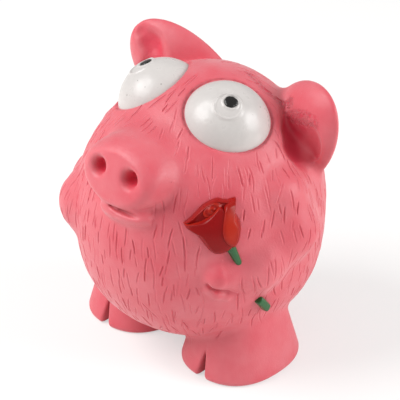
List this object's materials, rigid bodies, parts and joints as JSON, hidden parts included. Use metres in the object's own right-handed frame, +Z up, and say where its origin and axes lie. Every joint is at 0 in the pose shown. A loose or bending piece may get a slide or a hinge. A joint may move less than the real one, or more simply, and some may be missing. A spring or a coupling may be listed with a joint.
{
  "type": "latex animal dog toy",
  "caption": "Squat hollow latex pig dog toy on flat cloven feet, with cupped ears, domed eyes, a painted rose in one hand, fibre filling and a plug-in squeaker.",
  "frame": {"origin": "middle of the toy's footprint box, on the plane that the soles rest on", "axes": "+Z up; the face and snout look along -Y; +X points to the pig's own left side, where the rose is"},
  "size_m": [0.087, 0.0838, 0.0907],
  "materials": {
    "latex_pink": "satin moulded latex",
    "eye_white_paint": "glossy white latex paint",
    "pupil_black_paint": "glossy black latex paint",
    "rose_dark_red_paint": "glossy dark red latex paint",
    "rose_orange_red_paint": "glossy orange red latex paint",
    "stem_green_paint": "glossy green latex paint",
    "polyester_fibre": "matte fibre fill",
    "squeaker_plastic": "injection moulded polyethylene",
    "reed_film": "clear film"
  },
  "bodies": {
    "toy": {"body_skin": "latex_pink", "snout": "latex_pink", "ear_left": "latex_pink", "ear_right": "latex_pink", "arm_left": "latex_pink", "arm_right": "latex_pink", "foot_left": "latex_pink", "foot_right": "latex_pink", "tail": "latex_pink", "eye_left": "eye_white_paint", "eye_right": "eye_white_paint", "pupil_left": "pupil_black_paint", "pupil_right": "pupil_black_paint", "rose_front_petal": "rose_dark_red_paint", "rose_back_petal": "rose_dark_red_paint", "rose_side_petal": "rose_orange_red_paint", "rose_bud": "rose_orange_red_paint", "stem_upper": "stem_green_paint", "stem_lower": "stem_green_paint", "fibre_filling": "polyester_fibre", "squeaker_housing": "squeaker_plastic", "squeaker_grille": "squeaker_plastic", "squeaker_reed_bed": "squeaker_plastic", "squeaker_reed_wedge": "squeaker_plastic"},
    "reed": {"squeaker_reed": "reed_film"}
  },
  "joints": [
    {"name": "reed_flex", "type": "hinge", "parent": "toy", "child": "reed", "pos_m": [0, 0.02891, 0.02315], "axis": [-1, 0, 0], "range_deg": [0, 6], "stiffness_Nm_per_rad": 0.0002}
  ]
}
